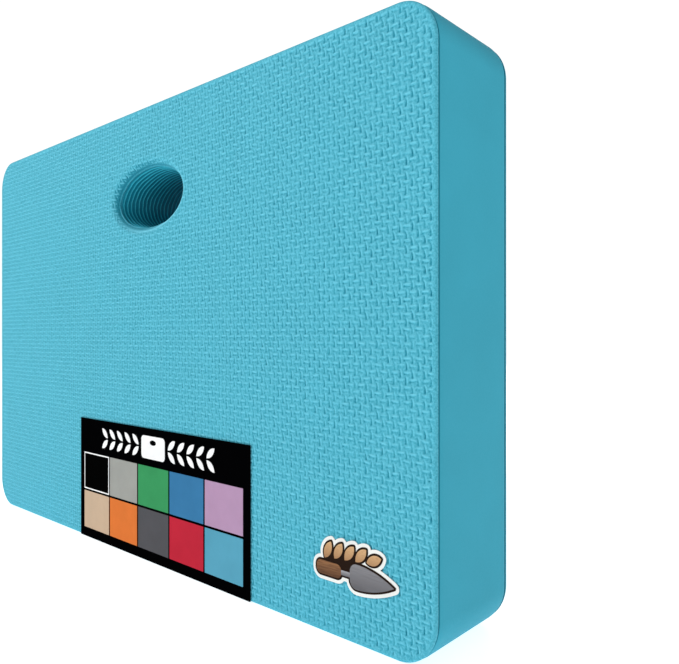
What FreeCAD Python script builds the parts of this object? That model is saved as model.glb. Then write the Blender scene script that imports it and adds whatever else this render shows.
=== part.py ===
"""Foam kneeling pad with a hand hole, a die-cut sticker and a colour card.

Millimetres. +X runs along the width, +Y from the front face to the back face, and +Z up. The pad stands on
its long bottom edge, and the origin is the middle of that edge.
"""
import FreeCAD, Part
import math
import os

# Driving dimensions
INCH = 25.4
PAD_WIDTH = 17.5 * INCH
PAD_HEIGHT = 11.0 * INCH
PAD_THICKNESS = 2.25 * INCH
CORNER_RADIUS = 21.0

SKIN_THICKNESS = 1.6        # embossed sheets on the front and the back
SKIN_INSET = 0.3            # how far those sheets stop short of the outline
SKIN_EDGE_RADIUS = 1.1
EDGE_WALL = 3.0             # smooth band round the pad

HOLE_WIDTH = 75.0
HOLE_HEIGHT = 38.0
HOLE_CENTRE_X = 2.1
HOLE_TO_TOP = 55.5          # centre of the hole to the top edge
LINING_WALL = 1.6           # ribbed wall of the hole
LIP_RADIUS = 5.0            # each face rolls over into the hole
LIP_SPARE = 0.5             # foam of the face sheet behind that roll

ADHESIVE_THICKNESS = 0.2
ADHESIVE_INSET = 0.8
INK_THICKNESS = 0.15

STICKER_CENTRE_X = 177.1
STICKER_CENTRE_Z = 35.0
STICKER_VINYL_THICKNESS = 0.3
STICKER_INK_MARGIN = 0.9    # dark ink shown round each coloured shape
STICKER_WHITE_MARGIN = 1.6  # white vinyl shown round the dark ink

CARD_LEFT_X = -80.2
CARD_WIDTH = 184.7
CARD_BOTTOM_Z = 0.5
CARD_HEIGHT = 80.9
CARD_THICKNESS = 0.5
CARD_SIDE_MARGIN = 5.6
CARD_BOTTOM_MARGIN = 6.4
PATCH_HEIGHT = 25.0
PATCH_GAP = 1.4
PATCH_COLUMNS = 5
PATCHES_TOP_ROW = ("black", "grey", "green", "blue", "lilac")
PATCHES_BOTTOM_ROW = ("beige", "orange", "charcoal", "red", "turquoise")
KEYLINE_WIDTH = 0.8

# Worked out from them
HALF_THICKNESS = PAD_THICKNESS / 2
FRONT_Y = -HALF_THICKNESS
CORE_THICKNESS = PAD_THICKNESS - 2 * SKIN_THICKNESS
LIP_DEPTH = LIP_RADIUS + LIP_SPARE
LINING_LENGTH = PAD_THICKNESS - 2 * LIP_DEPTH
HOLE_CENTRE_Z = PAD_HEIGHT - HOLE_TO_TOP
PATCH_WIDTH = (CARD_WIDTH - 2 * CARD_SIDE_MARGIN - (PATCH_COLUMNS - 1) * PATCH_GAP) / PATCH_COLUMNS
HEADER_BOTTOM_Z = CARD_BOTTOM_Z + CARD_BOTTOM_MARGIN + 2 * PATCH_HEIGHT + PATCH_GAP


# Flat outlines, drawn in the plane y = 0 as faces that look along -Y

def point(x, z):
    return FreeCAD.Vector(x, 0, z)


def line(start, end):
    return Part.LineSegment(start, end).toShape()


def arc(start, middle, end):
    return Part.Arc(start, middle, end).toShape()


def rounded_rectangle(left, bottom, width, height, radius):
    """A rectangle whose corners are quarter circles."""
    right = left + width
    top = bottom + height
    bend = radius * (1 - math.sqrt(0.5))
    edges = [
        line(point(left + radius, bottom), point(right - radius, bottom)),
        arc(point(right - radius, bottom), point(right - bend, bottom + bend), point(right, bottom + radius)),
        line(point(right, bottom + radius), point(right, top - radius)),
        arc(point(right, top - radius), point(right - bend, top - bend), point(right - radius, top)),
        line(point(right - radius, top), point(left + radius, top)),
        arc(point(left + radius, top), point(left + bend, top - bend), point(left, top - radius)),
        line(point(left, top - radius), point(left, bottom + radius)),
        arc(point(left, bottom + radius), point(left + bend, bottom + bend), point(left + radius, bottom)),
    ]
    return Part.Face(Part.Wire(edges))


def rectangle(left, bottom, width, height):
    right = left + width
    top = bottom + height
    corners = [point(left, bottom), point(right, bottom), point(right, top), point(left, top)]
    return Part.Face(Part.makePolygon(corners + corners[:1]))


def leaf(centre, length, width, angle):
    """A pointed leaf, two arcs that meet at its tips. The angle is in degrees from +X towards +Z."""
    tip = FreeCAD.Vector(length / 2, 0, 0)
    side = FreeCAD.Vector(0, 0, width / 2)
    outline = Part.Wire([arc(-tip, side, tip), arc(tip, -side, -tip)])
    outline.rotate(FreeCAD.Vector(0, 0, 0), FreeCAD.Vector(0, -1, 0), angle)
    outline.translate(centre)
    return Part.Face(outline)


def hole_outline(wall):
    """The hand hole's ellipse, grown by a wall's thickness."""
    centre = point(HOLE_CENTRE_X, HOLE_CENTRE_Z)
    end_of_width = point(HOLE_CENTRE_X + HOLE_WIDTH / 2 + wall, HOLE_CENTRE_Z)
    top_of_height = point(HOLE_CENTRE_X, HOLE_CENTRE_Z + HOLE_HEIGHT / 2 + wall)
    ellipse = Part.Ellipse(end_of_width, top_of_height, centre)
    return Part.Face(Part.Wire(ellipse.toShape()))


def pad_outline(inset):
    return rounded_rectangle(
        inset - PAD_WIDTH / 2,
        inset,
        PAD_WIDTH - 2 * inset,
        PAD_HEIGHT - 2 * inset,
        CORNER_RADIUS - inset,
    )


def slab(face, start_y, thickness):
    """The solid that an outline sweeps from start_y, backwards, or forwards if the thickness is negative."""
    placed = face.copy()
    placed.translate(FreeCAD.Vector(0, start_y, 0))
    return placed.extrude(FreeCAD.Vector(0, thickness, 0))


def lies_in_plane(shape, y):
    """Whether an edge or a face lies at that depth."""
    box = shape.BoundBox
    tolerance = 0.001
    return abs(box.YMin - y) < tolerance and abs(box.YMax - y) < tolerance


# Foam body

def foam_core():
    """The slab between the two face sheets, stepped back where each sheet's lip goes into the hole."""
    body = slab(pad_outline(EDGE_WALL), FRONT_Y + SKIN_THICKNESS, CORE_THICKNESS)
    bore = slab(hole_outline(LINING_WALL), FRONT_Y, PAD_THICKNESS)
    front_step = slab(hole_outline(LIP_DEPTH), FRONT_Y, LIP_DEPTH)
    back_step = slab(hole_outline(LIP_DEPTH), HALF_THICKNESS, -LIP_DEPTH)
    return body.cut([bore, front_step, back_step])


def edge_foam_skin():
    outline = pad_outline(0).cut(pad_outline(EDGE_WALL))
    return slab(outline, FRONT_Y + SKIN_THICKNESS, CORE_THICKNESS)


def hand_hole_lining():
    outline = hole_outline(LINING_WALL).cut(hole_outline(0))
    return slab(outline, FRONT_Y + LIP_DEPTH, LINING_LENGTH)


def face_skin(outer_y, inward):
    """An embossed sheet, rounded over at the rim of the pad and rolled over into the hole as a lip."""
    sheet = slab(pad_outline(SKIN_INSET), outer_y, inward * SKIN_THICKNESS)
    lip = slab(hole_outline(LIP_DEPTH), outer_y, inward * LIP_DEPTH)
    bore = slab(hole_outline(0), outer_y, inward * LIP_DEPTH)
    skin = sheet.fuse(lip).cut(bore).removeSplitter()
    outer_edges = [edge for edge in skin.Edges if lies_in_plane(edge, outer_y)]
    hole_edges = [edge for edge in outer_edges if edge.isClosed()]
    rim_edges = [edge for edge in outer_edges if not edge.isClosed()]
    return skin.makeFillet(SKIN_EDGE_RADIUS, rim_edges).makeFillet(LIP_RADIUS, hole_edges)


def front_foam_skin():
    return face_skin(FRONT_Y, 1)


def back_foam_skin():
    return face_skin(HALF_THICKNESS, -1)


# Sticker: a trowel under a sprig of leaves, drawn round the sticker's own centre

def sticker_point(along, up):
    return point(STICKER_CENTRE_X + along, STICKER_CENTRE_Z + up)


TROWEL_AXIS = -4.2          # height of the trowel's centre line
TROWEL_HANDLE = (-23.3, -7.6)
TROWEL_HANDLE_HEIGHT = 6.4
TROWEL_HANDLE_RADIUS = 2.7
TROWEL_NECK_END = -2.2
TROWEL_NECK_HEIGHT = 2.2
TROWEL_TIP = 23.3
TROWEL_BLADE_HEIGHT = 11.2
TROWEL_BLADE_BULGE = 4.0    # half its height halfway from the shoulder to the tip
TROWEL_HEEL_RADIUS = 3.9
TROWEL_SHOULDER = 3.0       # where the blade starts to narrow
LEAF_LENGTH = 9.0
LEAF_WIDTH = 4.4
LEAVES = ((-16.0, 4.4, 64), (-9.4, 5.0, 58), (-2.6, 5.4, 52), (4.4, 5.8, 46), (12.0, 5.2, 22))


def trowel_handle():
    start, end = TROWEL_HANDLE
    corner = sticker_point(start, TROWEL_AXIS - TROWEL_HANDLE_HEIGHT / 2)
    return rounded_rectangle(corner.x, corner.z, end - start, TROWEL_HANDLE_HEIGHT, TROWEL_HANDLE_RADIUS)


def trowel_neck():
    start = TROWEL_HANDLE[1]
    corner = sticker_point(start, TROWEL_AXIS - TROWEL_NECK_HEIGHT / 2)
    return rectangle(corner.x, corner.z, TROWEL_NECK_END - start, TROWEL_NECK_HEIGHT)


def trowel_blade():
    """Square shoulders that round into two long arcs, which meet at the tip."""
    half = TROWEL_BLADE_HEIGHT / 2
    bend = TROWEL_HEEL_RADIUS * (1 - math.sqrt(0.5))
    heel = TROWEL_NECK_END
    heel_start = sticker_point(heel, TROWEL_AXIS + half - TROWEL_HEEL_RADIUS)
    heel_middle = sticker_point(heel + bend, TROWEL_AXIS + half - bend)
    heel_end = sticker_point(heel + TROWEL_HEEL_RADIUS, TROWEL_AXIS + half)
    shoulder = sticker_point(TROWEL_SHOULDER, TROWEL_AXIS + half)
    bulge = sticker_point((TROWEL_SHOULDER + TROWEL_TIP) / 2, TROWEL_AXIS + TROWEL_BLADE_BULGE)
    tip = sticker_point(TROWEL_TIP, TROWEL_AXIS)
    upper = [
        arc(heel_start, heel_middle, heel_end),
        line(heel_end, shoulder),
        arc(shoulder, bulge, tip),
    ]
    axis_point = sticker_point(0, TROWEL_AXIS)
    lower = [edge.mirror(axis_point, FreeCAD.Vector(0, 0, 1)) for edge in upper]
    heel_line = line(sticker_point(heel, TROWEL_AXIS - half + TROWEL_HEEL_RADIUS), heel_start)
    return Part.Face(Part.Wire(Part.__sortEdges__(upper + lower + [heel_line])))


def sprig_leaves():
    return [leaf(sticker_point(along, up), LEAF_LENGTH, LEAF_WIDTH, angle) for along, up, angle in LEAVES]


def grown(faces, margin):
    """The outside of several shapes together, each first grown by a margin with round corners."""
    widened = [slab(face.makeOffset2D(margin), 0, 1) for face in faces]
    joined = widened[0].fuse(widened[1:]).removeSplitter()
    outlines = [face for face in joined.Faces if lies_in_plane(face, 0)]
    return Part.Face(outlines[0].OuterWire)


def sticker_shapes():
    return [trowel_handle(), trowel_neck(), trowel_blade()] + sprig_leaves()


def sticker_sheet(inset):
    return grown(sticker_shapes(), STICKER_INK_MARGIN + STICKER_WHITE_MARGIN - inset)


def sticker_nodes():
    adhesive_front = FRONT_Y - ADHESIVE_THICKNESS
    vinyl_front = adhesive_front - STICKER_VINYL_THICKNESS
    outline_front = vinyl_front - INK_THICKNESS
    ink_front = outline_front - INK_THICKNESS
    dark_outline = grown(sticker_shapes(), STICKER_INK_MARGIN)
    leaves = [slab(face, ink_front, INK_THICKNESS) for face in sprig_leaves()]
    return {
        "sticker_adhesive": slab(sticker_sheet(ADHESIVE_INSET), adhesive_front, ADHESIVE_THICKNESS),
        "sticker_vinyl": slab(sticker_sheet(0), vinyl_front, STICKER_VINYL_THICKNESS),
        "sticker_dark_outline": slab(dark_outline, outline_front, INK_THICKNESS),
        "sticker_trowel_handle": slab(trowel_handle(), ink_front, INK_THICKNESS),
        "sticker_trowel_neck": slab(trowel_neck(), ink_front, INK_THICKNESS),
        "sticker_trowel_blade": slab(trowel_blade(), ink_front, INK_THICKNESS),
        "sticker_leaves": Part.makeCompound(leaves),
    }


# Colour card: a header with a pictogram, over two rows of patches

PICTOGRAM_WIDTH = 26.0
PICTOGRAM_HEIGHT = 14.0
PICTOGRAM_CORNER = 2.6
PICTOGRAM_HOLE_WIDTH = 7.0
PICTOGRAM_HOLE_HEIGHT = 3.2
PICTOGRAM_HOLE_RISE = 3.1   # hole centre above the pictogram's centre
SPRIG_GAP = 7.0             # pictogram to the first pair of leaves
SPRIG_PAIRS = 5
SPRIG_PITCH = 9.6
SPRIG_LEAF_LENGTH = 9.4
SPRIG_LEAF_WIDTH = 3.8
SPRIG_LEAF_ANGLE = 40
SPRIG_LEAF_OFFSET = 3.6     # leaf centre above or below the stem line


def pictogram(centre_x, centre_z):
    """A small pad seen from the front, with its hand hole."""
    outline = rounded_rectangle(
        centre_x - PICTOGRAM_WIDTH / 2,
        centre_z - PICTOGRAM_HEIGHT / 2,
        PICTOGRAM_WIDTH,
        PICTOGRAM_HEIGHT,
        PICTOGRAM_CORNER,
    )
    hole_centre_z = centre_z + PICTOGRAM_HOLE_RISE
    hole = Part.Ellipse(
        point(centre_x + PICTOGRAM_HOLE_WIDTH / 2, hole_centre_z),
        point(centre_x, hole_centre_z + PICTOGRAM_HOLE_HEIGHT / 2),
        point(centre_x, hole_centre_z),
    )
    return outline.cut(Part.Face(Part.Wire(hole.toShape())))


def header_sprigs(centre_x, centre_z):
    """Pairs of leaves that point away from the pictogram on both sides."""
    leaves = []
    for side in (-1, 1):
        for pair in range(SPRIG_PAIRS):
            along = PICTOGRAM_WIDTH / 2 + SPRIG_GAP + pair * SPRIG_PITCH
            for above in (-1, 1):
                centre = point(centre_x + side * along, centre_z + above * SPRIG_LEAF_OFFSET)
                angle = side * above * SPRIG_LEAF_ANGLE
                leaves.append(leaf(centre, SPRIG_LEAF_LENGTH, SPRIG_LEAF_WIDTH, angle))
    return leaves


def patch_corner(column, row):
    """Lower left corner of a patch. Row 0 is the bottom row."""
    left = CARD_LEFT_X + CARD_SIDE_MARGIN + column * (PATCH_WIDTH + PATCH_GAP)
    bottom = CARD_BOTTOM_Z + CARD_BOTTOM_MARGIN + row * (PATCH_HEIGHT + PATCH_GAP)
    return left, bottom


def patch(column, row, inset):
    left, bottom = patch_corner(column, row)
    return rectangle(left + inset, bottom + inset, PATCH_WIDTH - 2 * inset, PATCH_HEIGHT - 2 * inset)


def card_nodes():
    adhesive_front = FRONT_Y - ADHESIVE_THICKNESS
    card_front = adhesive_front - CARD_THICKNESS
    ink_front = card_front - INK_THICKNESS
    centre_x = CARD_LEFT_X + CARD_WIDTH / 2
    header_z = (HEADER_BOTTOM_Z + CARD_BOTTOM_Z + CARD_HEIGHT) / 2
    sheet = rectangle(CARD_LEFT_X, CARD_BOTTOM_Z, CARD_WIDTH, CARD_HEIGHT)
    adhesive = rectangle(
        CARD_LEFT_X + ADHESIVE_INSET,
        CARD_BOTTOM_Z + ADHESIVE_INSET,
        CARD_WIDTH - 2 * ADHESIVE_INSET,
        CARD_HEIGHT - 2 * ADHESIVE_INSET,
    )
    header = [pictogram(centre_x, header_z)] + header_sprigs(centre_x, header_z)
    keyline = patch(0, 1, 0).cut(patch(0, 1, KEYLINE_WIDTH))
    nodes = {
        "card_adhesive": slab(adhesive, adhesive_front, ADHESIVE_THICKNESS),
        "card_sheet": slab(sheet, card_front, CARD_THICKNESS),
        "card_header_mark": Part.makeCompound([slab(face, ink_front, INK_THICKNESS) for face in header]),
        "card_keyline": slab(keyline, ink_front, INK_THICKNESS),
    }
    for row, colours in enumerate((PATCHES_BOTTOM_ROW, PATCHES_TOP_ROW)):
        for column, colour in enumerate(colours):
            inset = KEYLINE_WIDTH if colour == "black" else 0
            nodes["colour_patch_" + colour] = slab(patch(column, row, inset), ink_front, INK_THICKNESS)
    return nodes


def all_nodes():
    nodes = {
        "foam_core": foam_core(),
        "front_foam_skin": front_foam_skin(),
        "back_foam_skin": back_foam_skin(),
        "edge_foam_skin": edge_foam_skin(),
        "hand_hole_lining": hand_hole_lining(),
    }
    nodes.update(sticker_nodes())
    nodes.update(card_nodes())
    return nodes


def main():
    os.makedirs("parts", exist_ok=True)
    for name, shape in all_nodes().items():
        print(name, "solids", len(shape.Solids), "valid", shape.isValid(), "volume", round(shape.Volume, 1))
        shape.exportStep("parts/" + name + ".step")


main()
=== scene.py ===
"""A foam kneeling pad in a plain studio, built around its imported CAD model. Everything is in metres."""

import math

import bpy
import numpy as np
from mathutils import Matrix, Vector
from mathutils.geometry import delaunay_2d_cdt


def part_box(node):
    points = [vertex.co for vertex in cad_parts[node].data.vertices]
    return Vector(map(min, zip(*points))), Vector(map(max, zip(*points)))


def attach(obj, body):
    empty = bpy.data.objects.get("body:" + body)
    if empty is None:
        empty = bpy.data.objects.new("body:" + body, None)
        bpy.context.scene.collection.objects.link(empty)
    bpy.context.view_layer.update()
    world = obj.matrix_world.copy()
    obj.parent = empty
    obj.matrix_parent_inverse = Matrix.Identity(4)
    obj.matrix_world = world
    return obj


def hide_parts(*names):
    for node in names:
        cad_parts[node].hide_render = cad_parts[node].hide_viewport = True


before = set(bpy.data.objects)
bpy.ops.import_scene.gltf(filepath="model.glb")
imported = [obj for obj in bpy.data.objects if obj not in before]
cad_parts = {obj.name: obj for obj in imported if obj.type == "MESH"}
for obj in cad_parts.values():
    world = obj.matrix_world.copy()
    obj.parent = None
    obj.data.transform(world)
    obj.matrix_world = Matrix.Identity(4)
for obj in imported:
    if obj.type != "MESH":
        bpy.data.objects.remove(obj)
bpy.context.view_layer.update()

MM = 0.001

# Sizes that the frame gives

sheet_low, sheet_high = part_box("front_foam_skin")
band_low, band_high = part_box("edge_foam_skin")
lining_low, lining_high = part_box("hand_hole_lining")

HALF_WIDTH = band_high.x
PAD_HEIGHT = band_high.z
FRONT_Y = sheet_low.y
SHEET_BACK_Y = band_low.y
SHEET_INSET = band_high.x - sheet_high.x
LIP_END_Y = lining_low.y
HOLE_X = (lining_low.x + lining_high.x) / 2
HOLE_Z = (lining_low.z + lining_high.z) / 2

# Sizes that it doesn't give

CORNER_RADIUS = 21 * MM
BAND_WALL = 3 * MM
LINING_WALL = 1.6 * MM
LIP_STRAIGHT = 0.5 * MM         # from the end of the lip's rounding to the lining
LIP_WALL = LIP_END_Y - FRONT_Y
LIP_RADIUS = LIP_WALL - LIP_STRAIGHT
BORE_HALF_WIDTH = lining_high.x - HOLE_X - LINING_WALL
BORE_HALF_HEIGHT = lining_high.z - HOLE_Z - LINING_WALL

RIB_PITCH = 2.62 * MM
RIB_HEIGHT = 0.7 * MM
RIB_HALF_WIDTH = 0.31 * MM
RIB_WAVE = 0.22 * MM
RIB_WAVES = [(3, 9 * MM, 1), (7, -5 * MM, 0.6), (17, 3 * MM, 0.35)]     # waves to a turn, drift, share
ROWS_PER_RIB = 12

LIP_END_WALL = LIP_RADIUS * (1 - math.pi / 2)   # where the lip ends, measured along the flat sheet
RIBBED_WALL = LIP_END_WALL - LIP_STRAIGHT + RIB_PITCH       # and where the one rib on it starts

RIM_RADIUS = 1.1 * MM           # outer edge of each face sheet
SEAM_ROUNDING = 0.4 * MM        # its inner edge, at the seam with the band
SEAM_HALF_WIDTH = 0.38 * MM
SEAM_DEPTH = 1.4 * MM
SEAM_AT_CORNERS = 0.45          # how far it is open round a corner, next to 1 along a side
BAND_SHOULDER = 0.35 * MM       # how far the band stands back beside the seam
BAND_EASE = 3.2 * MM            # and how soon it comes out flush

# Rings of the band from the seam to where it is flush, closest where it curves most
BAND_STEPS = np.array([0, 0.05, 0.12, 0.2, 0.3, 0.45, 0.7, 1, 1.4, 1.9, 2.5, 3.2]) * MM

OUTLINE_SPACING = 1 * MM
HOLE_POINTS = 360
STEPS_PER_CELL = 6              # grid lines to each cell of the weave
ARC_STEPS = 6                   # rings round each small rounding
SHARP_ANGLE = math.radians(80)
TINY = 1e-9

TILE_WIDTH = 6.43 * MM          # the weave repeats after two cells each way
TILE_HEIGHT = 6.16 * MM
UPRIGHT_FROM_RIGHT = 3.40 * MM  # middle of one upright dash, from the pad's right edge
UPRIGHT_ABOVE_MIDDLE = 3.75 * MM
LEVEL_FROM_RIGHT = 2.98 * MM
LEVEL_ABOVE_MIDDLE = 0.44 * MM
UPRIGHT_LENGTH = 3.5 * MM
LEVEL_LENGTH = 3.6 * MM
GROOVE_DEPTH = 0.44 * MM
RAISED_HEIGHT = 0.26 * MM
UNEVENNESS = 0.022 * MM         # of the foam's skin, from one grid point to the next
DASH_SHIFT = 0.2 * MM           # how far a dash may be out of place
DASH_LEAN = 0.12                # how much it may lean
DASH_STRENGTH = 0.35            # and what share deeper or shallower it may be
WEAVE_SINK = 0.2 * MM           # the weave's middle level, below the plane of the face
BORDER_START = 2.0 * MM         # from the outline to where the weave starts to show
BORDER_END = 3.0 * MM
WEAVE_SET_BACK = 2.5 * MM       # from the lip's rib to where it starts to show at the hole's lower right
WEAVE_RISE = 1.5 * MM           # and how soon it is at its full height

# Painted shade of the foam, and painted highlights where it is below 0, carried by each point
SEAM_SHADE = 2.2                # painted on the band, next to how far the seam cuts in
WEAVE_SHADE = 0.33              # painted shade at the bottom of the weave
CREST_LIGHT = 0.85              # and how much lighter its crests are painted, next to a full 1
LIP_SHADE = 0.48                # at the lip's upper left
LIP_EVENNESS = 0.35             # the share of that shade that is the same all round
RIM_LIGHT = 1.5                 # how much lighter the lip's lower right is painted, along its brow
RIM_LIGHT_WALL = 1.9 * MM
RIM_LIGHT_WIDTH = 0.8 * MM
HOLE_SHADE = 0.22               # at the front of the hole
DEEP_SHADE = 0.98               # how much more at its back
DEEP_SHADE_AT_TOP = 0.3         # and how much more again at its top, and less at its bottom
RIB_SHADE = 0.75                # painted between one rib's crest and the next hollow
LIP_RIB_SHADE = 0.15            # the same for the rib on the lip


# Helpers for shapes

def smooth_step(value, low, high):
    """From 0 at low to 1 at high, with no slope at either."""
    part = np.clip((value - low) / (high - low), 0, 1)
    return part * part * (3 - 2 * part)


def bell(distance):
    return np.exp(-distance * distance)


def outline_ring():
    """Points along the pad's outline, counterclockwise from the front, and the way out at each."""
    centre_x = HALF_WIDTH - CORNER_RADIUS
    low_z = CORNER_RADIUS
    high_z = PAD_HEIGHT - CORNER_RADIUS
    centres = np.array([(centre_x, low_z), (centre_x, high_z), (-centre_x, high_z), (-centre_x, low_z)])
    arc_steps = round(CORNER_RADIUS * math.pi / 2 / OUTLINE_SPACING)
    points = []
    directions = []
    for turn, centre in enumerate(centres):
        angles = np.linspace(turn - 1, turn, arc_steps + 1) * math.pi / 2
        around = np.column_stack([np.cos(angles), np.sin(angles)])
        points.append(centre + CORNER_RADIUS * around)
        directions.append(around)
        run = centres[(turn + 1) % 4] - centre
        run_steps = round(np.linalg.norm(run) / OUTLINE_SPACING)
        along = np.arange(1, run_steps)[:, None] / run_steps
        points.append(points[-1][-1] + along * run)
        directions.append(np.repeat(around[-1:], run_steps - 1, axis=0))
    return np.vstack(points), np.vstack(directions)


OUTLINE, OUTWARD = outline_ring()
HOLE_ANGLES = np.arange(HOLE_POINTS) * 2 * math.pi / HOLE_POINTS


def at_depth(flat_points, y):
    """Points of the face's plane, as (x, z), moved to a depth."""
    return np.column_stack([flat_points[:, 0], np.full(len(flat_points), y), flat_points[:, 1]])


def outline_at(inset, y):
    """The outline moved inwards, by one inset for all of it or by one for each point."""
    return at_depth(OUTLINE - np.reshape(inset, (-1, 1)) * OUTWARD, y)


def seam_opening():
    """How far the seam is open at each point of the outline: it closes up round the corners."""
    turned = np.abs(2 * OUTWARD[:, 0] * OUTWARD[:, 1])
    return 1 - (1 - SEAM_AT_CORNERS) * turned


def towards_lower_right(angle):
    """From 1 at the hole's lower right to -1 at its upper left."""
    return np.cos(angle + math.pi / 4)


def lip_shade(wall, angle):
    """Painted shade of the lip: deepest at its upper left, lighter than the face at its lower right."""
    on_lip = 1 - smooth_step(wall, LIP_END_WALL, LIP_RADIUS)
    on_rib = 1 - smooth_step(wall, LIP_END_WALL, RIBBED_WALL)
    one_sided = (1 - LIP_EVENNESS) * towards_lower_right(angle)
    around = LIP_SHADE * on_lip * (LIP_EVENNESS - one_sided)
    brow = bell((wall - RIM_LIGHT_WALL) / RIM_LIGHT_WIDTH) * np.maximum(towards_lower_right(angle), 0)
    return around * (1 - on_rib) + HOLE_SHADE * on_rib - RIM_LIGHT * brow


def weave_start(angle):
    """The wall past which the weave shows: on the lip at the upper left, beyond it at the lower right."""
    return RIBBED_WALL + WEAVE_SET_BACK * (0.5 + 0.5 * towards_lower_right(angle))


def hole_flat(wall):
    """The bore's ellipse, grown by a wall, as (x, z)."""
    return np.column_stack([
        (BORE_HALF_WIDTH + wall) * np.cos(HOLE_ANGLES) + HOLE_X,
        (BORE_HALF_HEIGHT + wall) * np.sin(HOLE_ANGLES) + HOLE_Z,
    ])


def hole_at(wall, y):
    return at_depth(hole_flat(wall), y)


def inset_of(x, z):
    """How far inside the pad's outline a point of the face lies."""
    past_x = np.abs(x) - (HALF_WIDTH - CORNER_RADIUS)
    past_z = np.abs(z - PAD_HEIGHT / 2) - (PAD_HEIGHT / 2 - CORNER_RADIUS)
    in_corner = np.hypot(np.maximum(past_x, 0), np.maximum(past_z, 0))
    on_side = np.minimum(np.maximum(past_x, past_z), 0)
    return CORNER_RADIUS - in_corner - on_side


def hole_coordinates(x, z):
    """The wall that grows the bore's ellipse out to each point, and the point's angle on that ellipse."""
    right = x - HOLE_X
    up = z - HOLE_Z
    smallest_half_height = 3 * MM
    least = smallest_half_height - BORE_HALF_HEIGHT
    wall = np.maximum(np.hypot(right, up) - BORE_HALF_WIDTH, least)
    newton_steps = 12
    for _ in range(newton_steps):
        half_width = BORE_HALF_WIDTH + wall
        half_height = BORE_HALF_HEIGHT + wall
        miss = (right / half_width) ** 2 + (up / half_height) ** 2 - 1
        slope = -2 * (right ** 2 / half_width ** 3 + up ** 2 / half_height ** 3)
        wall = np.maximum(wall - miss / np.minimum(slope, -TINY), least)
    angle = np.arctan2(up / (BORE_HALF_HEIGHT + wall), right / (BORE_HALF_WIDTH + wall))
    return wall, angle


class Solid:
    """A closed mesh, gathered from rings and fills.

    Rings run counterclockwise seen from the front. Their order goes outwards over the front, then
    backwards over the rim, inwards over the back and forwards through the hole, so that every face looks
    out of the solid.
    """

    def __init__(self):
        self.points = np.zeros((0, 3))
        self.shade = np.zeros(0)
        self.faces = []

    def add(self, points, shade=0.0):
        """Adds points, each with its painted shade: 0 in the open, 1 deep in a hollow, below 0 for a
        painted highlight on a crest.
        """
        first = len(self.points)
        self.points = np.vstack([self.points, points])
        self.shade = np.concatenate([self.shade, np.broadcast_to(shade, len(points))])
        return np.arange(first, len(self.points))

    def loft(self, rings):
        for ring, following in zip(rings, rings[1:]):
            quads = np.column_stack([ring, following, np.roll(following, -1), np.roll(ring, -1)])
            self.faces.extend(quads.tolist())

    def fill(self, outer, inner, looks_back=False):
        """Triangles between an outer ring and the ring inside it, drawn in the face's plane."""
        members = np.concatenate([outer, inner])
        flat = [Vector((point[0], point[2])) for point in self.points[members]]
        rings = [list(range(len(outer))), list(range(len(outer), len(members)))]
        between_rings = 2
        _, _, triangles, sources, _, _ = delaunay_2d_cdt(flat, [], rings, between_rings, TINY)
        for triangle in triangles:
            corners = [int(members[sources[i][0]]) for i in triangle]
            self.faces.append(corners[::-1] if looks_back else corners)

    def mirror_to_back(self):
        self.points[:, 1] *= -1
        self.faces = [face[::-1] for face in self.faces]

    def make(self, name):
        mesh = bpy.data.meshes.new(name)
        mesh.from_pydata(self.points.tolist(), [], self.faces)
        mesh.shade_smooth()
        mesh.set_sharp_from_angle(angle=SHARP_ANGLE)
        shade = mesh.attributes.new("shade", "FLOAT", "POINT")
        shade.data.foreach_set("value", self.shade.astype(np.float32))
        piece = bpy.data.objects.new(name, mesh)
        bpy.context.scene.collection.objects.link(piece)
        return piece


# Weave of the face sheets

def along_dash(level, full, gone):
    """1 along a dash, fading out towards each end. A level of 1 is the end of its nominal length."""
    return 1 - smooth_step(np.abs(level), full, gone)


def upright_dash(right, up):
    """An upright groove, bent, deepest at its foot, and with a raised lip on its right."""
    middle_offset = 0.12
    bow = 0.36
    slant = 0.16
    level = up / (UPRIGHT_LENGTH / 2)
    across = right - (middle_offset - bow * level ** 2 - slant * level) * MM
    groove_width = (0.4 - 0.04 * level) * MM
    groove = bell(across / groove_width) * along_dash(level, full=0.8, gone=1.2)
    lip_offset = 0.9 * MM
    lip_width = 0.45 * MM
    lip = bell((across - lip_offset) / lip_width) * along_dash(level - 0.3, full=0.6, gone=1.1)
    shallower = 1 - 0.15 * level
    return RAISED_HEIGHT * lip - GROOVE_DEPTH * shallower * groove


def level_dash(right, up):
    """A level groove with a pit at its left end, under a raised strand."""
    groove_width = 0.3 * MM
    groove_share = 0.45
    level = right / (LEVEL_LENGTH / 2)
    groove = bell(up / groove_width) * along_dash(level, full=0.8, gone=1.1)
    pit_left = 1.3 * MM
    pit_up = 0.1 * MM
    pit_width = 0.55 * MM
    pit_height = 0.48 * MM
    pit = bell((right + pit_left) / pit_width) * bell((up - pit_up) / pit_height)
    strand_up = 0.85 * MM
    strand_width = 0.42 * MM
    strand = bell((up - strand_up) / strand_width) * along_dash(level - 0.25, full=0.8, gone=1.2)
    return RAISED_HEIGHT * strand - GROOVE_DEPTH * np.maximum(groove_share * groove, pit)


def dashes(x, z, from_right, above_middle, dash, random):
    """One lattice of dashes, each a little out of place and more or less deep."""
    right = x - (HALF_WIDTH - from_right)
    up = z - (PAD_HEIGHT / 2 + above_middle)
    column = np.round(right / TILE_WIDTH).astype(int)
    row = np.round(up / TILE_HEIGHT).astype(int)
    table_size = 96
    uneven = random.uniform(-1, 1, (4, table_size, table_size))
    shift_x, shift_z, lean, strength = uneven[:, column % table_size, row % table_size]
    right = right - column * TILE_WIDTH + DASH_SHIFT * shift_x
    up = up - row * TILE_HEIGHT + DASH_SHIFT * shift_z
    lean = DASH_LEAN * lean
    return dash(right + lean * up, up + lean * right) * (1 + DASH_STRENGTH * strength)


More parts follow.
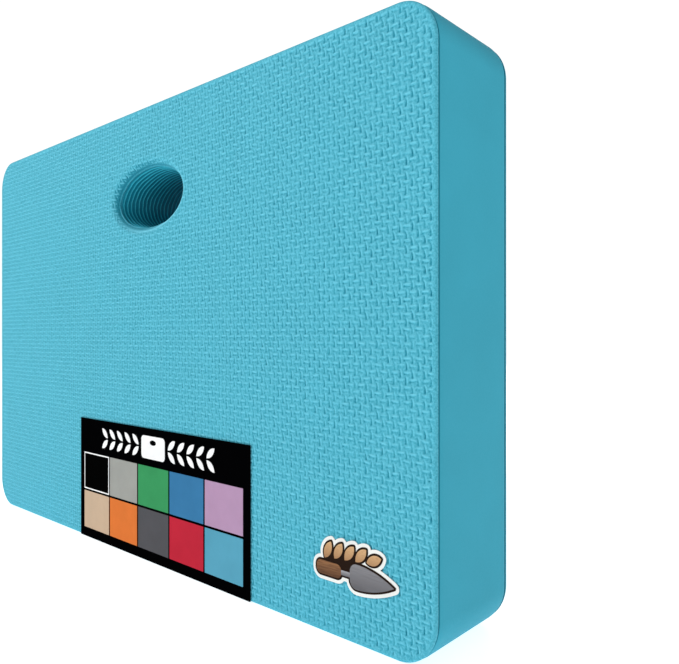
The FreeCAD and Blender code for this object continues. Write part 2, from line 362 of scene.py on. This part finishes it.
def weave(x, z, random):
    """Height of the embossed weave above its middle level. Upright and level dashes take turns."""
    height = np.zeros_like(x)
    for half in (0, 0.5):
        for from_right, above_middle, dash in (
            (UPRIGHT_FROM_RIGHT, UPRIGHT_ABOVE_MIDDLE, upright_dash),
            (LEVEL_FROM_RIGHT, LEVEL_ABOVE_MIDDLE, level_dash),
        ):
            over = from_right + half * TILE_WIDTH
            above = above_middle + half * TILE_HEIGHT
            height += dashes(x, z, over, above, dash, random)
    return height


# Pieces of foam

def rolled_into_hole(wall, angle, height):
    """Points of the flat sheet bent over the lip and raised along the surface's own direction."""
    turn = np.clip((LIP_RADIUS - wall) / LIP_RADIUS, 0, math.pi / 2)
    rolled_wall = np.where(wall < LIP_RADIUS, LIP_RADIUS * (1 - np.sin(turn)), wall)
    outward = rolled_wall - height * np.sin(turn)
    y = FRONT_Y + LIP_RADIUS * (1 - np.cos(turn)) - height * np.cos(turn)
    x = (BORE_HALF_WIDTH + outward) * np.cos(angle) + HOLE_X
    z = (BORE_HALF_HEIGHT + outward) * np.sin(angle) + HOLE_Z
    return np.column_stack(np.broadcast_arrays(x, y, z))


def ribs_at(y):
    """Height of the ribs at each angle round the hole, from 0 to 1. None is at the lip's end."""
    wave = sum(share * np.sin(count * HOLE_ANGLES + y / drift) for count, drift, share in RIB_WAVES)
    along = y - LIP_END_Y + RIB_WAVE * wave
    from_rib = along - RIB_PITCH * (np.floor(along / RIB_PITCH) + 0.5)
    return bell(from_rib / RIB_HALF_WIDTH)


def weave_grid():
    """Flat grid points that the weave is drawn on, as (x, z), and the quads between them."""
    step_x = TILE_WIDTH / 2 / STEPS_PER_CELL
    step_z = TILE_HEIGHT / 2 / STEPS_PER_CELL
    columns = int(HALF_WIDTH / step_x)
    rows = int(PAD_HEIGHT / 2 / step_z)
    x, z = np.meshgrid(
        np.arange(-columns, columns + 1) * step_x,
        np.arange(-rows, rows + 1) * step_z + PAD_HEIGHT / 2,
    )
    margin = 0.25 * MM
    wall, _ = hole_coordinates(x, z)
    inside = (inset_of(x, z) > SHEET_INSET + RIM_RADIUS + margin) & (wall > RIBBED_WALL + margin)
    whole = inside[:-1, :-1] & inside[1:, :-1] & inside[:-1, 1:] & inside[1:, 1:]
    number = np.arange(x.size).reshape(x.shape)
    quads = np.stack([number[:-1, :-1], number[:-1, 1:], number[1:, 1:], number[1:, :-1]], axis=-1)[whole]
    used, renumbered = np.unique(quads, return_inverse=True)
    points = np.column_stack([x.ravel()[used], z.ravel()[used]])
    return points, renumbered.reshape(quads.shape)


def stepped_loops(quads):
    """The stepped loop round the grid and the one round its hole, both counterclockwise."""
    starts = quads.ravel()
    ends = np.roll(quads, -1, axis=1).ravel()
    count = starts.max() + 1
    on_boundary = ~np.isin(starts * count + ends, ends * count + starts)
    following = dict(zip(starts[on_boundary].tolist(), ends[on_boundary].tolist()))
    loops = []
    while following:
        start, step = following.popitem()
        loop = [start]
        while step != start:
            loop.append(step)
            step = following.pop(step)
        loops.append(np.array(loop))
    outer, hole = sorted(loops, key=len, reverse=True)
    return outer, hole[::-1]


def face_sheet(seed):
    """The embossed front sheet: its weave, its rounded rim, and its lip into the hole with a rib on it."""
    random = np.random.default_rng(seed)
    solid = Solid()
    flat, quads = weave_grid()
    grid = solid.add(at_depth(flat, FRONT_Y))
    solid.faces.extend(quads.tolist())
    outer_steps, inner_steps = stepped_loops(quads)
    rim_start = solid.add(outline_at(SHEET_INSET + RIM_RADIUS, FRONT_Y))
    lip_ring = solid.add(hole_at(RIBBED_WALL, FRONT_Y))
    solid.fill(rim_start, outer_steps)
    solid.fill(inner_steps, lip_ring)

    wall, angle = hole_coordinates(flat[:, 0], flat[:, 1])
    show = smooth_step(inset_of(flat[:, 0], flat[:, 1]), BORDER_START, BORDER_END)
    show = show * smooth_step(wall - weave_start(angle), 0, WEAVE_RISE)
    height = weave(flat[:, 0], flat[:, 1], random)
    uneven = random.normal(0, UNEVENNESS, len(flat))
    solid.points[grid] = rolled_into_hole(wall, angle, show * (height + uneven - WEAVE_SINK))
    # Painted highlight on the weave's crests, painted shade in its hollows, and the lip's painted shade
    # and highlight
    crest = CREST_LIGHT * np.maximum(height, 0) / RAISED_HEIGHT
    hollow = WEAVE_SHADE * np.maximum(-height, 0) / GROOVE_DEPTH
    solid.shade[grid] = show * (hollow - crest) + lip_shade(wall, angle)
    solid.points[lip_ring] = rolled_into_hole(RIBBED_WALL, HOLE_ANGLES, 0)
    solid.shade[lip_ring] = lip_shade(RIBBED_WALL, HOLE_ANGLES)
    lip_rings = [lip_ring]
    lip_rows = 9
    for ring_wall in np.linspace(RIBBED_WALL, LIP_END_WALL, lip_rows + 1)[1:]:
        rib = ribs_at(FRONT_Y + LIP_RADIUS - (ring_wall - LIP_END_WALL))
        ribbed = rolled_into_hole(ring_wall, HOLE_ANGLES, RIB_HEIGHT * rib)
        lip_rings.append(solid.add(ribbed, shade=lip_shade(ring_wall, HOLE_ANGLES) - LIP_RIB_SHADE * rib))

    rings = [rim_start]
    for turn in np.linspace(0, math.pi / 2, ARC_STEPS + 1)[1:]:
        inset = SHEET_INSET + RIM_RADIUS * (1 - math.sin(turn))
        rings.append(solid.add(outline_at(inset, FRONT_Y + RIM_RADIUS * (1 - math.cos(turn)))))
    # Painted shade deepens over the seam's rounding and is full on the seam's floor
    for turn in np.linspace(0, math.pi / 2, ARC_STEPS + 1):
        inset = SHEET_INSET + SEAM_ROUNDING * (1 - math.cos(turn))
        y = SHEET_BACK_Y - SEAM_ROUNDING * (1 - math.sin(turn))
        rings.append(solid.add(outline_at(inset, y), shade=math.sin(turn)))
    seam_floor = solid.add(outline_at(SHEET_INSET + SEAM_DEPTH * seam_opening(), SHEET_BACK_Y), shade=1.0)
    rings.append(seam_floor)
    solid.loft(rings)
    lip_root = solid.add(hole_at(LIP_WALL, SHEET_BACK_Y))
    solid.fill(seam_floor, lip_root, looks_back=True)
    lip_heel = solid.add(hole_at(LIP_WALL, LIP_END_Y))
    lip_toe = solid.add(hole_at(0, LIP_END_Y), shade=HOLE_SHADE)
    solid.loft([lip_root, lip_heel, lip_toe] + lip_rings[::-1])
    return solid


def edge_band():
    """The smooth wall round the pad, which eases back into the seam at each end."""
    solid = Solid()
    length = band_high.y - band_low.y
    middle_rings = 16
    middle_steps = np.linspace(BAND_EASE, length - BAND_EASE, middle_rings + 2)[1:-1]
    steps = np.concatenate([BAND_STEPS, middle_steps, length - BAND_STEPS[::-1]])
    rings = []
    for step in steps:
        from_end = min(step, length - step)
        ease = BAND_SHOULDER * (1 - smooth_step(from_end, 0, BAND_EASE))
        seam = bell(from_end / SEAM_HALF_WIDTH) * seam_opening()
        inset = ease + (SEAM_DEPTH - BAND_SHOULDER) * seam
        # painted shade in the seam
        shade = np.minimum(SEAM_SHADE * seam, 1)
        rings.append(solid.add(outline_at(inset, band_low.y + step), shade))
    inner_front = solid.add(outline_at(BAND_WALL, band_low.y))
    inner_back = solid.add(outline_at(BAND_WALL, band_high.y))
    solid.loft([inner_front] + rings + [inner_back, inner_front])
    return solid


def hole_lining():
    """The wall of the hole, with a rib at each pitch from front to back."""
    solid = Solid()
    length = lining_high.y - lining_low.y
    rows = round(length / RIB_PITCH * ROWS_PER_RIB)
    ribbed = []
    for y in np.linspace(lining_high.y, lining_low.y, rows + 1):
        rib = ribs_at(y)
        # painted shade, deeper towards the back of the hole and at its top, less at its bottom
        deep = (y - lining_low.y) / length * (DEEP_SHADE + DEEP_SHADE_AT_TOP * np.sin(HOLE_ANGLES))
        ribbed.append(solid.add(hole_at(-RIB_HEIGHT * rib, y), shade=HOLE_SHADE + deep - RIB_SHADE * rib))
    outer_front = solid.add(hole_at(LINING_WALL, lining_low.y))
    outer_back = solid.add(hole_at(LINING_WALL, lining_high.y))
    solid.loft(ribbed + [outer_front, outer_back, ribbed[0]])
    return solid


def cushion_core():
    """The slab inside, stepped back for the lips of both sheets."""
    solid = Solid()
    front_rim = solid.add(outline_at(BAND_WALL, band_low.y))
    back_rim = solid.add(outline_at(BAND_WALL, band_high.y))
    sections = [
        (LIP_WALL, band_high.y),
        (LIP_WALL, lining_high.y),
        (LINING_WALL, lining_high.y),
        (LINING_WALL, lining_low.y),
        (LIP_WALL, lining_low.y),
        (LIP_WALL, band_low.y),
    ]
    hole_rings = [solid.add(hole_at(wall, y)) for wall, y in sections]
    solid.fill(front_rim, hole_rings[-1])
    solid.fill(back_rim, hole_rings[0], looks_back=True)
    solid.loft([front_rim, back_rim])
    solid.loft(hole_rings)
    return solid


# Materials

HOLLOW_TONE = (0.012, 0.2, 0.24)    # share of red, green and blue left under the deepest painted shade, as deep in a hollow; also the darkest grain
CREST_TONE = (2.4, 1.42, 1.36)      # and what a full painted highlight on a crest makes of them; also the palest mottled cells
BRIGHTEST_CREST = 2.0               # painted shade past which a crest's painted highlight gets no lighter

FOAM_CLOUDS = 30 * MM
FOAM_CELLS = 0.8 * MM
FOAM_GRAIN = 0.35 * MM
INK_BANDS = 12 * MM
INK_GRAIN = 0.2 * MM
INK_STREAKS = 0.6 * MM


class Nodes:
    """Short names for building one material's node tree."""

    def __init__(self, name):
        self.material = bpy.data.materials.new(name)
        self.material.use_nodes = True
        self.tree = self.material.node_tree
        self.shader = self.tree.nodes["Principled BSDF"]
        self.place = self.add("ShaderNodeTexCoord").outputs["Object"]

    def add(self, kind, inputs=None, **settings):
        node = self.tree.nodes.new(kind)
        for name, value in settings.items():
            setattr(node, name, value)
        for name, value in (inputs or {}).items():
            self.put(node.inputs[name], value)
        return node

    def put(self, socket, value):
        if isinstance(value, bpy.types.NodeSocket):
            self.tree.links.new(value, socket)
        else:
            socket.default_value = value

    def noise(self, size, detail=2.0, place=None):
        """Noise whose features are about that size, from 0 to 1."""
        inputs = {"Vector": place or self.place, "Scale": 1 / size, "Detail": detail}
        return self.add("ShaderNodeTexNoise", inputs).outputs["Fac"]

    def spread(self, noise, to_low, to_high):
        """Noise spread between two values. Nearly all of it lies between 0.3 and 0.7."""
        return self.remap(noise, 0.3, 0.7, to_low, to_high)

    def remap(self, value, low, high, to_low, to_high):
        inputs = {"Value": value, "From Min": low, "From Max": high, "To Min": to_low, "To Max": to_high}
        return self.add("ShaderNodeMapRange", inputs).outputs["Result"]

    def mix(self, amount, first, second, blend="MIX"):
        node = self.add("ShaderNodeMix", data_type="RGBA", blend_type=blend, clamp_factor=False)
        self.put(node.inputs["Factor"], amount)
        self.put(node.inputs["A"], first)
        self.put(node.inputs["B"], second)
        return node.outputs["Result"]

    def darkened(self, amount, colour):
        """The colour under painted shade, from unchanged at 0 to HOLLOW_TONE of it at 1, in equal shares.
        """
        stops = 4
        ramp = self.add("ShaderNodeValToRGB", {"Fac": amount})
        while len(ramp.color_ramp.elements) < stops + 1:
            ramp.color_ramp.elements.new(0.5)
        for number, stop in enumerate(ramp.color_ramp.elements):
            stop.position = number / stops
            stop.color = (*[channel ** stop.position for channel in HOLLOW_TONE], 1.0)
        return self.mix(1.0, colour, ramp.outputs["Color"], blend="MULTIPLY")

    def bump(self, height, distance):
        inputs = {"Height": height, "Distance": distance}
        self.put(self.shader.inputs["Normal"], self.add("ShaderNodeBump", inputs).outputs["Normal"])

    def finish(self, colour, roughness, specular):
        self.put(self.shader.inputs["Base Color"], colour)
        self.put(self.shader.inputs["Roughness"], roughness)
        self.put(self.shader.inputs["Specular IOR Level"], specular)
        return self.material


def linear(red, green, blue):
    """A colour given as 0 to 255 sRGB, as Blender's linear RGBA."""
    channels = [value / 255 for value in (red, green, blue)]
    curved = [c / 12.92 if c <= 0.04045 else ((c + 0.055) / 1.055) ** 2.4 for c in channels]
    return (*curved, 1.0)


def scaled(colour, factor):
    return (*[min(channel * factor, 1.0) for channel in colour[:3]], 1.0)


def toned(colour, tone):
    return (*[min(channel * part, 1.0) for channel, part in zip(colour, tone)], 1.0)


def foam(name, colour, mottle):
    """Closed-cell foam: fine grain, faint clouding, mottled cells, painted shade in hollows and painted
    highlights on crests.
    """
    clouding = 0.03
    nodes = Nodes(name)
    shade = nodes.add("ShaderNodeAttribute", attribute_name="shade").outputs["Fac"]
    crest = nodes.remap(shade, 0.0, -BRIGHTEST_CREST, 0.0, BRIGHTEST_CREST)
    clouds = nodes.noise(FOAM_CLOUDS, 3.0)
    grain = nodes.noise(FOAM_GRAIN, 3.0)
    cloudy = nodes.spread(clouds, 0.0, 1.0)
    clouded = nodes.mix(cloudy, scaled(colour, 1 - clouding), scaled(colour, 1 + clouding))
    grained = nodes.mix(nodes.spread(grain, 0.0, mottle), clouded, toned(colour, HOLLOW_TONE))
    cells = nodes.noise(FOAM_CELLS, 2.0)
    pale = nodes.remap(cells, 0.35, 0.65, 0.0, 2 * mottle)
    mottled = nodes.mix(pale, grained, toned(colour, CREST_TONE))
    shaded = nodes.darkened(shade, mottled)
    lit = nodes.mix(crest, shaded, toned(colour, CREST_TONE))
    roughness = nodes.spread(grain, 0.55, 0.75)
    nodes.bump(grain, distance=0.04 * MM)
    return nodes.finish(lit, roughness, specular=0.12)


def printed(name, colour):
    """Ink on a smooth sheet: faint banding from the press, and fine grain."""
    banding = 0.04
    nodes = Nodes(name)
    bands = nodes.noise(INK_BANDS, 2.0)
    grain = nodes.noise(INK_GRAIN, 2.0)
    amount = nodes.spread(bands, 0.0, 1.0)
    banded = nodes.mix(amount, scaled(colour, 1 - banding), scaled(colour, 1 + banding))
    speckled = nodes.mix(nodes.remap(grain, 0.45, 0.75, 0.0, 0.15), banded, scaled(colour, 0.8))
    roughness = nodes.spread(bands, 0.49, 0.61)
    nodes.bump(grain, distance=0.01 * MM)
    return nodes.finish(speckled, roughness, specular=0.0)


def graded(name, low_colour, high_colour, streak_colour, streak_length):
    """Ink of the sticker's picture, shaded from its lower edge to its upper one and streaked along X."""
    nodes = Nodes(name)
    low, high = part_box(name)
    height = nodes.add("ShaderNodeSeparateXYZ", {"Vector": nodes.place}).outputs["Z"]
    rise = nodes.remap(height, low.z, high.z, 0.0, 1.0)
    blended = nodes.mix(rise, linear(*low_colour), linear(*high_colour))
    stretch = {"Vector": nodes.place, "Scale": (INK_STREAKS / streak_length, 1, 1)}
    along = nodes.add("ShaderNodeMapping", stretch).outputs["Vector"]
    streaks = nodes.noise(INK_STREAKS, 3.0, along)
    streaked = nodes.mix(nodes.remap(streaks, 0.45, 0.7, 0.0, 0.8), blended, linear(*streak_colour))
    nodes.bump(streaks, distance=0.01 * MM)
    roughness = nodes.spread(streaks, 0.35, 0.5)
    return nodes.finish(streaked, roughness, specular=0.1)


def give_material(node_name, material):
    for material_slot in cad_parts[node_name].material_slots:
        material_slot.material = material


# Building it all

def camera():
    """In front of the pad and to its right, just below its middle, looking across its front face."""
    view_direction = Vector((-0.6335, 0.7737, 0))
    data = bpy.data.cameras.new("camera")
    data.lens = 34.605
    data.sensor_width = 36
    data.shift_x = -0.0769
    data.shift_y = 0.0056
    eye = bpy.data.objects.new("camera", data)
    eye.location = (0.3746, -0.2436, 0.1380)
    eye.rotation_euler = view_direction.to_track_quat("-Z", "Y").to_euler()
    bpy.context.scene.collection.objects.link(eye)
    bpy.context.scene.camera = eye


def area_light(name, location, size, power):
    data = bpy.data.lights.new(name, "AREA")
    data.size = size
    data.energy = power
    lamp = bpy.data.objects.new(name, data)
    lamp.location = location
    middle = Vector((0, 0, PAD_HEIGHT / 2))
    lamp.rotation_euler = (middle - lamp.location).to_track_quat("-Z", "Y").to_euler()
    bpy.context.scene.collection.objects.link(lamp)


def surround():
    """White all round, which lights the pad more dimly than it looks."""
    lighting_strength = 0.34
    seen_strength = 1.05
    world = bpy.data.worlds.new("surround")
    world.use_nodes = True
    bpy.context.scene.world = world
    tree = world.node_tree
    seen = tree.nodes.new("ShaderNodeLightPath").outputs["Is Camera Ray"]
    strength = tree.nodes.new("ShaderNodeMapRange")
    strength.inputs["To Min"].default_value = lighting_strength
    strength.inputs["To Max"].default_value = seen_strength
    tree.links.new(seen, strength.inputs["Value"])
    tree.links.new(strength.outputs["Result"], tree.nodes["Background"].inputs["Strength"])
    tree.nodes["Background"].inputs["Color"].default_value = (1, 1, 1, 1)


def floor():
    """A pale floor that glows a little, so that the pad's shadow on it stays soft."""
    half = 20.0
    glow = 0.75
    mottle_size = 200 * MM
    corners = [(-half, -half, 0), (half, -half, 0), (half, half, 0), (-half, half, 0)]
    mesh = bpy.data.meshes.new("floor")
    mesh.from_pydata(corners, [], [(0, 1, 2, 3)])
    nodes = Nodes("floor")
    mottle = nodes.noise(mottle_size)
    colour = nodes.mix(mottle, linear(236, 236, 236), linear(242, 242, 242))
    nodes.put(nodes.shader.inputs["Emission Color"], (1, 1, 1, 1))
    nodes.put(nodes.shader.inputs["Emission Strength"], glow)
    mesh.materials.append(nodes.finish(colour, roughness=0.9, specular=0.1))
    piece = bpy.data.objects.new("floor", mesh)
    bpy.context.scene.collection.objects.link(piece)


def studio():
    surround()
    floor()
    area_light("key_light", location=(-2.1, -2.5, 2.3), size=0.9, power=60)
    area_light("side_light", location=(2.0, 0.6, 1.2), size=1.0, power=6)
    area_light("back_light", location=(-0.8, 2.2, 1.2), size=1.0, power=14)


# Each foam's colour, and how mottled it is. It is all one foam: the edge's and the hole's colours are the
# face's with painted shade, darker and lower still in red.
FOAMS = {
    "foam_embossed": ((74, 178, 201), 0.27),
    "foam_edge": ((61, 166, 190), 0.03),
    "foam_hole": ((42, 165, 188), 0.1),
    "foam_core": ((74, 178, 201), 0.27),
}


def place_foam(piece, node, slot_name):
    colour, mottle = FOAMS[slot_name]
    piece.data.materials.append(foam(piece.name, linear(*colour), mottle))
    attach(piece, "root")
    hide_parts(node)


def build_pad():
    front = face_sheet(seed=1)
    back = face_sheet(seed=2)
    back.mirror_to_back()
    place_foam(front.make("front_face_sheet"), "front_foam_skin", "foam_embossed")
    place_foam(back.make("back_face_sheet"), "back_foam_skin", "foam_embossed")
    place_foam(edge_band().make("edge_band"), "edge_foam_skin", "foam_edge")
    place_foam(hole_lining().make("hole_lining"), "hand_hole_lining", "foam_hole")
    place_foam(cushion_core().make("cushion_core"), "foam_core", "foam_core")


# Each ink's colour at its lower edge, at its upper one and in its streaks, and how long the streaks are
PICTURE_INKS = {
    "sticker_trowel_handle": ((96, 62, 40), (150, 104, 68), (78, 48, 30), 9 * MM),
    "sticker_trowel_neck": ((100, 98, 102), (170, 168, 172), (120, 118, 122), 3 * MM),
    "sticker_trowel_blade": ((96, 94, 98), (138, 136, 140), (116, 114, 118), 14 * MM),
    "sticker_leaves": ((158, 112, 76), (222, 180, 132), (186, 140, 98), 2 * MM),
}

PRINT_COLOURS = {
    "sticker_adhesive": (225, 222, 212),
    "sticker_vinyl": (245, 244, 240),
    "sticker_dark_outline": (42, 30, 24),
    "card_adhesive": (225, 222, 212),
    "card_sheet": (3, 3, 4),
    "card_header_mark": (250, 250, 250),
    "card_keyline": (250, 250, 250),
    "colour_patch_black": (4, 4, 4),
    "colour_patch_grey": (161, 162, 157),
    "colour_patch_green": (62, 151, 95),
    "colour_patch_blue": (61, 122, 167),
    "colour_patch_lilac": (183, 148, 180),
    "colour_patch_beige": (203, 177, 151),
    "colour_patch_orange": (224, 122, 60),
    "colour_patch_charcoal": (86, 86, 90),
    "colour_patch_red": (193, 44, 62),
    "colour_patch_turquoise": (91, 163, 188),
}


def build_prints():
    for node_name, colour in PRINT_COLOURS.items():
        give_material(node_name, printed(node_name, linear(*colour)))
    for node_name, ink in PICTURE_INKS.items():
        give_material(node_name, graded(node_name, *ink))


bpy.context.scene.view_settings.view_transform = "Standard"
camera()
studio()
build_pad()
build_prints()
